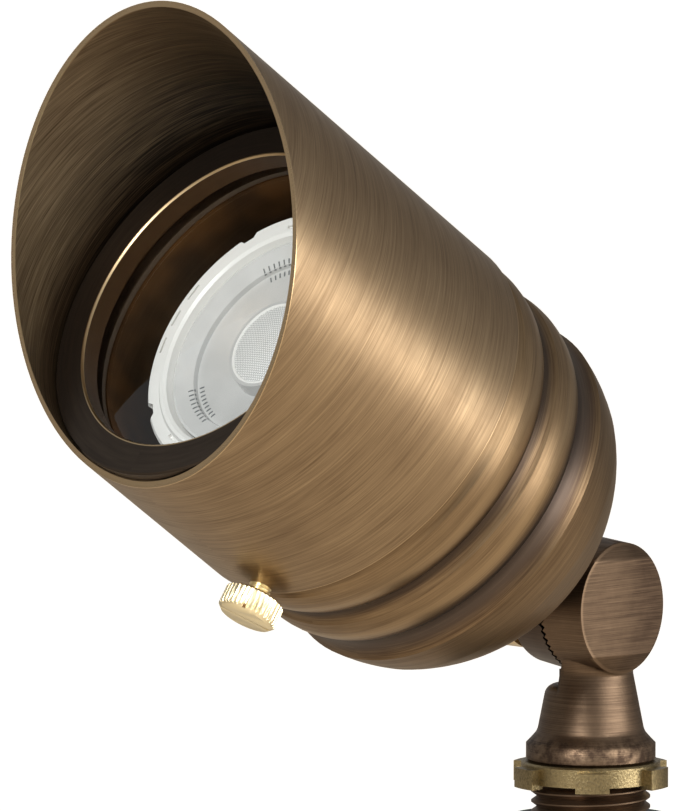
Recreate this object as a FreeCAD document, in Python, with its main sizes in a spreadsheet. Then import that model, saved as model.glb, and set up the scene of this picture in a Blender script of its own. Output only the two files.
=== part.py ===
import FreeCAD, Part
import math
import os
import Sketcher
from FreeCAD import Placement, Rotation, Vector

# A garden spotlight on a ground spike. Millimetres, +Z up.
# Origin: on the stem's axis at the soil line, the underside of the spike's collar.
# The knuckle's axis is parallel to X and the lamp looks towards -Y, upwards.
# The head's own frame has its origin on the beam axis at the shroud's rear edge,
# +Z along the beam, +Y to the long side of the shroud.

SIZES = [
    # --- aim and layout
    ("aim_angle", 34.8, "beam above level, degrees"),
    ("neck_length", 17.6, "knuckle axis to the flat of the dome"),
    ("pivot_rise", 1.7, "knuckle axis above the beam axis"),
    ("pivot_drop", 27.3, "knuckle axis to the underside of the stem's flange"),
    ("thread_free", 10.2, "bare thread between the flange and the spike"),
    # --- clearances
    ("slide_gap", 0.05, "radial gap of a sliding or turning fit"),
    ("seat_gap", 0.05, "gap between faces that turn on each other"),
    # --- glare shroud
    ("shroud_radius", 35.6, "outside"),
    ("shroud_wall", 0.9, "wall of the tube"),
    ("shroud_long", 75.9, "length of the long side"),
    ("shroud_cut", 29.6, "slant of the front cut, degrees"),
    # --- shroud thumb screw
    ("thumb_place", 2.0, "screw axis ahead of the shroud's rear edge"),
    ("thumb_side", 1.0, "screw axis beside the shroud's lowest line"),
    ("thumb_head_radius", 5.25, "over the knurl"),
    ("thumb_head_length", 4.6, "knurled length"),
    ("thumb_shank_radius", 2.05, "thread"),
    ("thumb_stand_off", 1.6, "shroud to head"),
    ("thumb_slot_width", 0.6, "driver slot"),
    ("thumb_slot_depth", 0.9, "driver slot"),
    ("thumb_turn", 37.0, "direction of the slot, degrees"),
    # --- lamp housing
    ("skirt_front", 36.0, "front rim of the housing"),
    ("bead_drop", 0.5, "first bead's crest under the shroud's outside"),
    ("second_bead_drop", 1.0, "second bead's crest under the shroud's outside"),
    ("valley_drop", 2.3, "first valley"),
    ("second_valley_drop", 3.0, "second valley"),
    ("neck_groove_drop", 1.4, "groove behind the shroud's rear edge"),
    ("shoulder_drop_in", 1.75, "crest of the dome's shoulder"),
    ("bead_place", 4.9, "first crest, behind the shroud's rear edge"),
    ("second_bead_place", 15.5, "second crest"),
    ("valley_place", 10.4, "first valley"),
    ("second_valley_place", 21.2, "second valley"),
    ("shoulder_place", 26.0, "crest of the dome's shoulder"),
    ("cove_radius", 4.0, "coves between the beads"),
    ("dome_over", 0.2, "radius of the dome, over the shroud's"),
    ("dome_centre", 16.4, "dome centre behind the shroud's rear edge"),
    ("dome_join", 34.0, "where the shoulder runs into the dome"),
    ("dome_cut", 1.2, "height cut off the dome for the knuckle's seat"),
    ("ledge_back", 26.0, "inside ledge that carries the socket bracket"),
    ("ledge_width", 5.5, "inside ledge that carries the socket bracket"),
    ("dome_wall", 3.5, "wall at the back"),
    # --- lens, gasket and ring
    ("mouth_wall", 2.2, "wall round the lens"),
    ("shelf_width", 2.9, "shelf under the gasket"),
    ("gasket_back", 30.0, "shelf of the counterbore"),
    ("gasket_height", 1.0, "pressed gasket"),
    ("lens_height", 3.0, "glass"),
    ("ring_lip", 3.9, "lens ring over the glass"),
    ("ring_face", 2.0, "flange ahead of the housing rim"),
    ("ring_gap", 0.25, "lens ring to shroud, radial"),
    # --- lamp
    ("lamp_front", 25.0, "lamp front ahead of the shroud's rear edge"),
    ("lamp_radius", 25.3, "lamp rim"),
    ("lamp_turn", 39.6, "direction of the lamp's notches, degrees"),
    ("lamp_length", 45.4, "rim to base"),
    ("frame_depth", 5.0, "front frame"),
    ("notch_depth", 1.3, "four notches of the rim"),
    ("optic_radius", 20.3, "edge of the optic"),
    ("prism_radius", 16.3, "ring of prisms"),
    ("bowl_depth", 4.4, "dish of the optic, behind the lamp front"),
    ("eye_radius", 7.7, "central lens"),
    ("eye_back", 2.0, "edge of the central lens, behind the lamp front"),
    ("eye_rise", 0.9, "crown of the central lens"),
    ("pin_spacing", 5.33, "between the two pins"),
    ("pin_radius", 0.77, "lamp pins"),
    ("pin_length", 7.0, "lamp pins"),
    # --- socket and bracket
    ("socket_length", 24.0, "ceramic socket"),
    ("socket_width", 11.0, "ceramic socket"),
    ("socket_height", 9.6, "ceramic socket"),
    ("strap_width", 13.0, "bracket"),
    ("strap_thickness", 1.2, "bracket"),
    ("strap_screw_inset", 3.5, "screws inside the housing's bore"),
    # --- knuckle
    ("knuckle_radius", 12.0, "serrated faces"),
    ("joint_offset", 0.35, "joint plane beside the stem's axis"),
    ("tooth_gap", 0.08, "between the two crest planes"),
    ("tooth_depth", 0.55, "at the rim"),
    ("tooth_count", 60, "serrations"),
    ("chamber_radius", 5.0, "wire chamber of the joint"),
    ("chamber_depth", 2.2, "wire chamber of the joint"),
    ("stem_face", 7.8, "outer face of the stem's disc"),
    ("stem_face_width", 20.0, "oval outer face"),
    ("stem_face_height", 23.0, "oval outer face"),
    ("head_disc_back", 8.9, "outer face of the head's disc"),
    ("neck_radius", 7.4, "half-round neck"),
    ("shoulder_drop", 14.0, "shoulder below the pivot"),
    ("collar_radius", 9.25, "foot of the stem's taper"),
    ("flange_radius", 11.35, "stem flange"),
    ("flange_height", 3.6, "stem flange"),
    ("wire_radius", 2.3, "wire way"),
    ("foot_radius", 9.0, "foot on the dome"),
    ("shank_radius", 5.0, "threaded shank through the dome"),
    ("nut_height", 4.0, "nut on the shank"),
    ("nut_width", 15.0, "across flats"),
    ("nut_washer", 1.0, "washer under the nut"),
    # --- clamp screw
    ("clamp_radius", 2.45, "clamp screw shank"),
    ("clamp_knob_radius", 9.0, "clamp knob"),
    ("clamp_face", 22.0, "outer face of the knob beside the stem's axis"),
    ("clamp_neck", 3.2, "neck of the knob"),
    ("clamp_washer_height", 0.8, "washer under the knob"),
    # --- thread, locknut
    ("thread_radius", 10.45, "crest of the stem's thread"),
    ("thread_depth", 0.95, "chamfer at the end of the thread"),
    ("thread_length", 22.0, "below the flange"),
    ("stem_bore", 6.2, "cable way of the stem"),
    ("locknut_radius", 12.2, "between the lugs"),
    ("locknut_height", 3.5, "thickness"),
    ("lug_radius", 14.1, "over the lugs"),
    ("lug_width", 24.5, "angle of a lug, degrees"),
    ("lug_drop", 0.7, "lugs below the ring"),
    ("lug_turn", -42.9, "direction of a lug from +X, degrees"),
    # --- ground spike
    ("hub_top", 12.0, "hub above the soil line"),
    ("hub_radius", 15.5, "hub"),
    ("hub_bottom", 26.0, "hub below the soil line"),
    ("hub_wall", 4.0, "wall of the wire chamber"),
    ("spike_collar_radius", 22.0, "collar on the soil"),
    ("spike_collar_height", 4.0, "collar on the soil"),
    ("spike_length", 225.0, "soil line to point"),
    ("fin_thickness", 3.4, "four fins"),
    ("fin_point", 1.2, "half width at the point"),
    ("outlet_radius", 4.2, "cable outlet of the hub"),
    ("outlet_depth", 13.0, "cable outlet below the soil line"),
]

doc = FreeCAD.newDocument("GardenSpotlight")
sheet = doc.addObject("Spreadsheet::Sheet", "Sizes")


class Size:
    """A number together with the sheet expression that gives it."""

    def __init__(self, value, text):
        self.value, self.text = float(value), text

    def _join(self, other, sign, value):
        return Size(value, "(%s %s %s)" % (self.text, sign, text_of(other)))

    def __add__(self, other):
        return self._join(other, "+", self.value + value_of(other))

    def __sub__(self, other):
        return self._join(other, "-", self.value - value_of(other))

    def __mul__(self, other):
        return self._join(other, "*", self.value * value_of(other))

    def __truediv__(self, other):
        return self._join(other, "/", self.value / value_of(other))

    def __radd__(self, other):
        return Size(other, repr(float(other))) + self

    def __rsub__(self, other):
        return Size(other, repr(float(other))) - self

    def __rmul__(self, other):
        return Size(other, repr(float(other))) * self

    def __rtruediv__(self, other):
        return Size(other, repr(float(other))) / self

    def __neg__(self):
        return Size(0.0, "0.0") - self


def value_of(size):
    return size.value if isinstance(size, Size) else float(size)


def text_of(size):
    return size.text if isinstance(size, Size) else repr(float(size))


def root(size):
    return Size(math.sqrt(size.value), "sqrt(%s)" % size.text)


def tangent(degrees):
    return Size(math.tan(math.radians(degrees.value)), "tan(%s * 1 deg)" % degrees.text)


def sine(degrees):
    return Size(math.sin(math.radians(degrees.value)), "sin(%s * 1 deg)" % degrees.text)


def cosine(degrees):
    return Size(math.cos(math.radians(degrees.value)), "cos(%s * 1 deg)" % degrees.text)


def crest_arc(width, height):
    """Radius of an arc that ends square to the width, at the crest of a bead."""
    return (width * width + height * height) / (2 * width)


class Sheet:
    """The driving sizes, read as S.name."""


S = Sheet()
for row, (alias, number, note) in enumerate(SIZES, 1):
    sheet.set("A%d" % row, alias.replace("_", " ") + ": " + note)
    sheet.set("B%d" % row, str(number))
    sheet.setAlias("B%d" % row, alias)
    setattr(S, alias, Size(number, "Sizes." + alias))
doc.recompute()

# --- places that several pieces share
pivot_height = S.hub_top + S.thread_free + S.pivot_drop
skirt_radius = S.shroud_radius - S.shroud_wall - S.slide_gap
lens_seat = skirt_radius - S.mouth_wall - S.slide_gap
housing_bore = lens_seat - S.shelf_width
dome_radius = S.shroud_radius + S.dome_over
dome_flat = S.dome_centre + dome_radius - S.dome_cut
pivot_back = dome_flat + S.neck_length
strap_screw_place = housing_bore - S.strap_screw_inset
lens_back = S.gasket_back + S.gasket_height
lens_face = lens_back + S.lens_height
lamp_back = S.lamp_front - S.lamp_length
socket_front = lamp_back - 0.3
socket_back = socket_front - S.socket_height
joint_plane = -S.joint_offset
stem_crest = joint_plane + S.tooth_gap / 2
head_crest = joint_plane - S.tooth_gap / 2


# ------------------------------------------------------------------ drawing helpers
def bind(target, path, size):
    if isinstance(size, Size):
        target.setExpression(path, size.text)


def new_body(label):
    body = doc.addObject("PartDesign::Body", label)
    body.Label = label
    return body


def origin_part(body, role):
    return next(f for f in body.Origin.OriginFeatures if f.Role == role)


def new_sketch(body, role, offset=0.0):
    sketch = body.newObject("Sketcher::SketchObject", body.Label + "_sketch")
    sketch.AttachmentSupport = [(origin_part(body, role), "")]
    sketch.MapMode = "FlatFace"
    sketch.AttachmentOffset = Placement(Vector(0, 0, value_of(offset)), Rotation())
    bind(sketch, ".AttachmentOffset.Base.z", offset)
    return sketch


def pin_point(sketch, geometry, end, x, y):
    """Fix one end of a sketch curve at (x, y)."""
    for kind, axis, size in (("DistanceX", -2, x), ("DistanceY", -1, y)):
        if not isinstance(size, Size) and size == 0:
            sketch.addConstraint(Sketcher.Constraint("PointOnObject", geometry, end, axis))
        else:
            n = sketch.addConstraint(
                Sketcher.Constraint(kind, -1, 1, geometry, end, value_of(size)))
            bind(sketch, "Constraints[%d]" % n, size)


def arc_between(start, end, radius):
    """The short arc from start to end; a positive radius turns to the left."""
    chord = end - start
    half = chord.Length / 2
    left = Vector(-chord.y, chord.x, 0).normalize()
    rise = math.sqrt(max(radius * radius - half * half, 0.0))
    centre = (start + end) / 2 + left * math.copysign(rise, radius)
    first, last = (start, end) if radius > 0 else (end, start)
    angles = [math.atan2(p.y - centre.y, p.x - centre.x) for p in (first, last)]
    return Part.ArcOfCircle(Part.Circle(centre, Vector(0, 0, 1), abs(radius)), *angles)


def outline(sketch, points):
    """A closed outline. (x, y) ends a line; (x, y, radius) ends an arc."""
    spots = [Vector(value_of(p[0]), value_of(p[1]), 0) for p in points]
    ends = []
    for i, point in enumerate(points):
        start, end = spots[i - 1], spots[i]
        if len(point) == 3:
            radius = value_of(point[2])
            n = sketch.addGeometry(arc_between(start, end, radius), False)
            ends.append((n, 1, 2) if radius > 0 else (n, 2, 1))
        else:
            ends.append((sketch.addGeometry(Part.LineSegment(start, end), False), 1, 2))
    for i, point in enumerate(points):
        n, first, last = ends[i]
        following = ends[(i + 1) % len(ends)]
        sketch.addConstraint(
            Sketcher.Constraint("Coincident", n, last, following[0], following[1]))
        pin_point(sketch, n, last, point[0], point[1])
        if len(point) == 3:
            radius = point[2] if value_of(point[2]) > 0 else -point[2]
            c = sketch.addConstraint(Sketcher.Constraint("Radius", n, value_of(radius)))
            bind(sketch, "Constraints[%d]" % c, radius)


def circle(sketch, x, y, radius):
    shape = Part.Circle(Vector(value_of(x), value_of(y), 0), Vector(0, 0, 1), value_of(radius))
    n = sketch.addGeometry(shape, False)
    pin_point(sketch, n, 3, x, y)
    c = sketch.addConstraint(Sketcher.Constraint("Radius", n, value_of(radius)))
    bind(sketch, "Constraints[%d]" % c, radius)


def box_outline(x0, y0, x1, y1):
    return [(x0, y0), (x1, y0), (x1, y1), (x0, y1)]


def settle(body, feature, grows):
    """Make the feature the body's tip and see that it changed the solid the right way."""
    before = body.Shape.Volume if not body.Shape.isNull() else 0.0
    body.Tip = feature
    doc.recompute()
    change = body.Shape.Volume - before
    if not (change > 1e-6 if grows else change < -1e-6):
        raise ValueError("%s: %s changed nothing" % (body.Label, feature.Name))
    return feature


def revolve(body, points, offset=0.0, grows=True):
    """Turn an outline drawn as (radius, height) about the height axis."""
    sketch = new_sketch(body, "XZ_Plane", offset)
    outline(sketch, points)
    kind = "PartDesign::Revolution" if grows else "PartDesign::Groove"
    feature = body.newObject(kind, body.Label + "_turned")
    feature.Profile = sketch
    feature.ReferenceAxis = (sketch, ["V_Axis"])
    feature.Angle = 360
    return settle(body, feature, grows)


def turned(label, points):
    body = new_body(label)
    revolve(body, points)
    return body


def extrude(body, sketch, length, grows, reverse=False, middle=False):
    kind = "PartDesign::Pad" if grows else "PartDesign::Pocket"
    feature = body.newObject(kind, body.Label + ("_pad" if grows else "_pocket"))
    feature.Profile = sketch
    feature.Length = value_of(length)
    bind(feature, "Length", length)
    feature.Midplane = middle
    feature.Reversed = reverse
    return settle(body, feature, grows)


def pad(body, sketch, length, **how):
    return extrude(body, sketch, length, True, **how)


def pocket(body, sketch, length, **how):
    return extrude(body, sketch, length, False, **how)


def repeat_round(body, feature, count, role="Z_Axis"):
    pattern = body.newObject("PartDesign::PolarPattern", body.Label + "_round")
    pattern.Originals = [feature]
    pattern.Axis = (origin_part(body, role), [""])
    pattern.Angle = 360
    pattern.Occurrences = int(round(value_of(count)))
    bind(pattern, "Occurrences", count)
    body.Tip = pattern
    doc.recompute()
    return pattern


def loft(body, sketches, grows):
    kind = "PartDesign::AdditiveLoft" if grows else "PartDesign::SubtractiveLoft"
    feature = body.newObject(kind, body.Label + "_loft")
    feature.Profile = sketches[0]
    feature.Sections = sketches[1:]
    feature.Ruled = True
    return settle(body, feature, grows)


def bevel(body, chooses, size, kind="Fillet"):
    """Round or chamfer the edges of the tip that the test picks."""
    tip = body.Tip
    names = ["Edge%d" % (i + 1) for i, e in enumerate(tip.Shape.Edges) if chooses(e)]
    if not names:
        raise ValueError(body.Label + ": no edge to work on")
    feature = body.newObject("PartDesign::" + kind, body.Label + "_" + kind.lower())
    feature.Base = (tip, names)
    where = "Radius" if kind == "Fillet" else "Size"
    setattr(feature, where, value_of(size))
    bind(feature, where, size)
    body.Tip = feature
    doc.recompute()
    return feature


def cylinder(label, radius, height, place):
    solid = doc.addObject("Part::Cylinder", label)
    solid.Radius, solid.Height = value_of(radius), value_of(height)
    bind(solid, "Radius", radius)
    bind(solid, "Height", height)
    solid.Placement = place
    return solid


def lift(x, y, z):
    return Placement(Vector(value_of(x), value_of(y), value_of(z)), Rotation())


# ------------------------------------------------------------------ where things stand
pivot_at = Vector(0, 0, pivot_height.value)
tip_back = Rotation(Vector(1, 0, 0), 90 - S.aim_angle.value)
knuckle_place = Placement(pivot_at, tip_back)
head_place = knuckle_place * lift(0, -S.pivot_rise, pivot_back)
stem_place = Placement(pivot_at, Rotation())
parts = []


def keep(piece, place):
    piece.Placement = place
    parts.append(piece)


# ------------------------------------------------------------------ glare shroud
def make_shroud():
    """A thin tube, its mouth cut on a slant so that the upper side shades the eye."""
    inner = S.shroud_radius - S.shroud_wall
    body = turned("glare_shroud",
                  box_outline(inner, 0, S.shroud_radius, S.shroud_long))
    slope = tangent(S.shroud_cut)
    low = S.shroud_long - 2 * S.shroud_radius * slope
    reach = S.shroud_radius + 1
    sketch = new_sketch(body, "YZ_Plane")
    outline(sketch, [(-reach, low - slope), (reach, S.shroud_long + slope),
                     (reach, S.shroud_long + 20), (-reach, S.shroud_long + 20)])
    pocket(body, sketch, 3 * S.shroud_radius, middle=True)
    sketch = new_sketch(body, "XZ_Plane")
    circle(sketch, S.thumb_side, S.thumb_place, S.thumb_shank_radius + S.slide_gap)
    pocket(body, sketch, S.shroud_radius + 2, reverse=True)
    keep(body, head_place)


def make_thumb_screw():
    """Knurled, slotted screw; it stands on the underside of the shroud, near its rear edge."""
    inside = S.shroud_radius - S.shroud_wall
    under = S.shroud_radius + S.thumb_stand_off
    top = under + S.thumb_head_length
    round_off = 0.7
    body = turned("shroud_thumb_screw", [
        (0, inside), (S.thumb_shank_radius, inside), (S.thumb_shank_radius, under),
        (S.thumb_head_radius - 1.2, under), (S.thumb_head_radius - 0.4, under + 0.6),
        (S.thumb_head_radius, under + 0.6), (S.thumb_head_radius, top - round_off),
        (S.thumb_head_radius - round_off, top), (0, top)])
    sketch = new_sketch(body, "XY_Plane", under)
    edge = S.thumb_head_radius
    outline(sketch, [(edge - 0.35, 0), (edge + 0.3, 0.5), (edge + 0.3, -0.5)])
    groove = pocket(body, sketch, S.thumb_head_length, reverse=True)
    repeat_round(body, groove, 36)
    sketch = new_sketch(body, "XZ_Plane")
    half = S.thumb_slot_width / 2
    outline(sketch, box_outline(-half, top - S.thumb_slot_depth, half, top + 1))
    pocket(body, sketch, 3 * S.thumb_head_radius, middle=True)
    down = Rotation(Vector(1, 0, 0), 90) * Rotation(Vector(0, 0, 1), S.thumb_turn.value)
    keep(body, head_place * lift(S.thumb_side, 0, S.thumb_place) * Placement(Vector(), down))


# ------------------------------------------------------------------ lamp housing
def make_housing():
    """Turned brass cup: skirt under the shroud, two rounded beads, dome with a flat."""
    flat_radius = root(S.dome_cut * (2 * dome_radius - S.dome_cut))
    inner_dome = dome_radius - S.dome_wall
    inner_flat = dome_flat - S.dome_wall
    nut_seat = root(S.dome_cut * (2 * inner_dome - S.dome_cut))
    join_reach = S.dome_join - S.dome_centre
    join_radius = root(dome_radius * dome_radius - join_reach * join_reach)
    throat = housing_bore - S.ledge_width
    throat_reach = root(inner_dome * inner_dome - throat * throat)
    outside = S.shroud_radius
    bead, second = outside - S.bead_drop, outside - S.second_bead_drop
    valley, second_valley = outside - S.valley_drop, outside - S.second_valley_drop
    groove, shoulder = outside - S.neck_groove_drop, outside - S.shoulder_drop_in
    front_side, second_side = 0.2, 0.25
    front_run, second_run = 2.0, 2.4
    body = turned("lamp_housing", [
        (S.shank_radius + S.slide_gap, -dome_flat),
        (flat_radius, -dome_flat),
        (join_radius, -S.dome_join, dome_radius),
        (shoulder, -S.shoulder_place, dome_radius - S.second_bead_drop),
        (second_valley, -S.second_valley_place, -2.2 * S.cove_radius),
        (second, -S.second_bead_place,
         crest_arc(second - second_valley, S.second_valley_place - S.second_bead_place)),
        (second - second_side, second_run - S.second_bead_place,
         crest_arc(second_side, second_run)),
        (valley, -S.valley_place, -S.cove_radius),
        (bead, -S.bead_place, crest_arc(bead - valley, S.valley_place - S.bead_place)),
        (bead - front_side, front_run - S.bead_place, crest_arc(front_side, front_run)),
        (groove, -0.2, -S.cove_radius),
        (groove, 0.3),
        (skirt_radius, 0.6),
        (skirt_radius, S.skirt_front),
        (lens_seat + S.slide_gap, S.skirt_front),
        (lens_seat + S.slide_gap, S.gasket_back),
        (housing_bore, S.gasket_back),
        (housing_bore, -S.ledge_back),
        (throat, -S.ledge_back),
        (throat, -(S.dome_centre + throat_reach)),
        (nut_seat, -inner_flat, -inner_dome),
        (S.shank_radius + S.slide_gap, -inner_flat),
    ])
    sketch = new_sketch(body, "XY_Plane", -S.ledge_back)
    for side in (-1, 1):
        circle(sketch, side * strap_screw_place, 0, 1.3)
    pocket(body, sketch, 5.0)
    keep(body, head_place)


def make_lens_stack():
    """Gasket, glass and the ring that holds them in the mouth of the housing."""
    seat, opening = lens_seat, lens_seat - S.ring_lip
    keep(turned("lens_gasket", box_outline(
        housing_bore + 0.3, S.gasket_back, seat - 0.2, lens_back)), head_place)
    keep(turned("glass_lens", [
        (0, lens_back), (seat - 0.6, lens_back), (seat - 0.2, lens_back + 0.4),
        (seat - 0.2, lens_face - 0.4), (seat - 0.6, lens_face), (0, lens_face)]), head_place)
    rim = S.shroud_radius - S.shroud_wall - S.ring_gap
    face = S.skirt_front + S.ring_face
    keep(turned("lens_ring", [
        (opening, lens_face + S.seat_gap), (seat, lens_face + S.seat_gap),
        (seat, S.skirt_front + S.seat_gap), (rim, S.skirt_front + S.seat_gap),
        (rim, face - 0.3), (rim - 0.3, face), (opening + 0.25, face),
        (opening, face - 0.25)]), head_place)


# ------------------------------------------------------------------ lamp
def fixed(degrees):
    return Size(degrees, repr(float(degrees)))


def sector(angle, half, inner, outer):
    """Four corners round the beam axis: angle and half width in degrees, two radii."""
    return [(reach * cosine(fixed(angle + turn)), reach * sine(fixed(angle + turn)))
            for reach, turn in ((inner, -half), (outer, -half), (outer, half), (inner, half))]


def make_lamp():
    """A 50 mm two-pin reflector lamp: frame, optic, chip board, body, base and pins."""
    front, rim, edge = S.lamp_front, S.lamp_radius, S.optic_radius
    frame_back = front - S.frame_depth
    band = front - 0.5
    turned_place = head_place * Placement(
        Vector(), Rotation(Vector(0, 0, 1), S.lamp_turn.value))
    body = turned("lamp_frame", [
        (edge + 0.1, front - 1.8), (edge + 0.6, front - 0.4), (edge + 1.2, front),
        (edge + 1.8, front), (edge + 2.3, band), (rim - 0.5, band), (rim, band - 0.5),
        (rim - 0.3, frame_back), (rim - 1.9, frame_back), (rim - 2.1, front - 2.4),
        (edge + 0.1, front - 2.6)])
    sketch = new_sketch(body, "XY_Plane", front - 2.2)
    low = rim - S.notch_depth
    outline(sketch, [(low, -1.0), (low + 0.8, -1.8), (rim + 1, -1.8), (rim + 1, 1.8),
                     (low + 0.8, 1.8), (low, 1.0)])
    notch = pocket(body, sketch, 3.0, reverse=True)
    repeat_round(body, notch, 4)
    sketch = new_sketch(body, "XY_Plane", band)
    for angle in (122.0, 135.0, 148.0):
        outline(sketch, sector(angle, 3.7, rim - 1.65, rim - 1.2))
    for angle in (67.5, 202.5):
        outline(sketch, sector(angle, 2.2, edge + 2.4, rim - 2.0))
    slots = pocket(body, sketch, 0.6)
    repeat_round(body, slots, 2)
    keep(body, turned_place)

    floor, eye = front - S.bowl_depth, S.eye_radius
    eye_edge = front - S.eye_back
    keep(turned("lamp_optic", [
        (0, floor - 1.4), (S.prism_radius, floor - 1.4), (edge - 0.4, front - 2.8),
        (edge, front - 2.4), (edge, front - 1.5), (edge - 0.5, front - 1.3),
        (S.prism_radius + 0.3, front - 2.4), (S.prism_radius, front - 3.2),
        (eye + 1.3, floor), (eye + 0.8, eye_edge + 0.2), (eye + 0.2, eye_edge + 0.2),
        (eye, eye_edge),
        (0, eye_edge + S.eye_rise, crest_arc(S.eye_rise, eye))]), head_place)

    board_top = floor - 1.6
    keep(turned("lamp_board", [
        (0, board_top - 1.4), (15.0, board_top - 1.4), (15.0, board_top - 0.4),
        (3.2, board_top - 0.4), (3.2, board_top), (0, board_top)]), head_place)

    seat = board_top - 1.4
    body = turned("lamp_heat_sink", [
        (0, lamp_back + 11.0), (9.6, lamp_back + 11.0), (11.2, lamp_back + 13.0),
        (rim - 2.6, frame_back - 1.2), (rim - 0.4, frame_back - 0.2),
        (rim - 0.4, frame_back - 0.05), (rim - 2.5, frame_back - 0.05),
        (18.6, seat + 1.6), (17.8, seat), (0, seat)])
    sketch = new_sketch(body, "XZ_Plane")
    outline(sketch, [(9.0, lamp_back + 11), (rim, lamp_back + 11), (rim, frame_back - 2.0),
                     (rim - 6.6, frame_back - 2.0)])
    slot = pocket(body, sketch, 3.0, middle=True)
    repeat_round(body, slot, 12)
    keep(body, head_place)

    keep(turned("lamp_base", [
        (0, lamp_back), (8.0, lamp_back), (9.4, lamp_back + 1.6), (9.4, lamp_back + 11.0),
        (0, lamp_back + 11.0)]), head_place)

    pins = []
    for side in (-1, 1):
        where = head_place * lift(side * S.pin_spacing / 2, 0, lamp_back - S.pin_length)
        pins.append(cylinder("lamp_pin", S.pin_radius, S.pin_length, where))
    group = doc.addObject("Part::Compound", "lamp_pins")
    group.Links = pins
    group.Label = "lamp_pins"
    parts.append(group)


def make_socket():
    """Ceramic socket on a joggled steel strap, screwed to the ledge of the housing."""
    long, wide = S.socket_length / 2, S.socket_width / 2
    body = new_body("lamp_socket")
    sketch = new_sketch(body, "XY_Plane", socket_back)
    corner = 2.5
    outline(sketch, [
        (long - corner, -wide), (long, -wide + corner, corner),
        (long, wide - corner), (long - corner, wide, corner), (-long + corner, wide),
        (-long, wide - corner, corner), (-long, -wide + corner),
        (-long + corner, -wide, corner)])
    pad(body, sketch, S.socket_height)
    sketch = new_sketch(body, "XY_Plane", socket_front)
    for side in (-1, 1):
        circle(sketch, side * S.pin_spacing / 2, 0, S.pin_radius + S.slide_gap)
    pocket(body, sketch, S.pin_length + 0.5)
    sketch = new_sketch(body, "XY_Plane", socket_front)
    for side in (-1, 1):
        circle(sketch, side * (long - 3.2), 0, 1.3)
    pocket(body, sketch, S.socket_height + 1)
    sketch = new_sketch(body, "XY_Plane", socket_front)
    for side in (-1, 1):
        circle(sketch, side * (long - 3.2), 0, 2.4)
    pocket(body, sketch, 2.2)
    keep(body, head_place)

    end, step = housing_bore - 1.1, long + 2.5
    high, thick = -S.ledge_back, S.strap_thickness
    body = new_body("socket_bracket")
    sketch = new_sketch(body, "XZ_Plane")
    low = socket_back - thick
    outline(sketch, [
        (-end, high), (-step - thick, high), (-step, low), (step, low), (step + thick, high),
        (end, high), (end, high + thick), (step, high + thick), (step - thick, socket_back),
        (-step + thick, socket_back), (-step, high + thick), (-end, high + thick)])
    pad(body, sketch, S.strap_width, middle=True)
    sketch = new_sketch(body, "XY_Plane", high + thick + 1)
    for side in (-1, 1):
        circle(sketch, side * strap_screw_place, 0, 1.6)
        circle(sketch, side * (long - 3.2), 0, 1.25)
    pocket(body, sketch, 20.0)
    sketch = new_sketch(body, "XY_Plane", high + thick + 1)
    circle(sketch, 0, 0, 4.2)
    pocket(body, sketch, 20.0)
    keep(body, head_place)

    make_screws("bracket_screws", strap_screw_place, high + thick, 1.25, 2.7, 1.8, 5.0)
    make_screws("socket_screws", long - 3.2, socket_front - 2.2, 1.2, 2.2, 1.5,
                S.socket_height - 2.2 + thick)


def make_screws(label, place, seat, shank, head, height, length):
    """Two pan-head screws, mirror images about the beam axis, heads forward."""
    screws = []
    for side in (-1, 1):
        top = head_place * lift(side * place, 0, seat)
        bottom = head_place * lift(side * place, 0, seat - length)
        pair = [cylinder(label + "_head", head, height, top),
                cylinder(label + "_shank", shank, length, bottom)]
        fused = doc.addObject("Part::MultiFuse", label + "_screw")
        fused.Shapes = pair
        screws.append(fused)
    group = doc.addObject("Part::Compound", label)
    group.Links = screws
    group.Label = label
    parts.append(group)


# ------------------------------------------------------------------ knuckle
def serrate(body, crest, inward):
    """Radial V teeth on the plane x = crest; their depth grows with the radius.
    inward is +1 where the material lies on the +X side."""
    fullness, over = 0.93, 0.25
    sections = []
    for radius in (S.knuckle_radius + 1, S.chamber_radius - 1):
        share = radius / S.knuckle_radius
        depth = share * S.tooth_depth
        half = radius * tangent(180 * fullness / S.tooth_count)
        above = over * share
        grown = half * (1 + above / depth)
        sketch = new_sketch(body, "XZ_Plane", radius)
        outline(sketch, [(crest + inward * depth, 0), (crest - inward * above, grown),
                         (crest - inward * above, -grown)])
        sections.append(sketch)
    cut = loft(body, sections, False)
    repeat_round(body, cut, S.tooth_count, "X_Axis")


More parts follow.
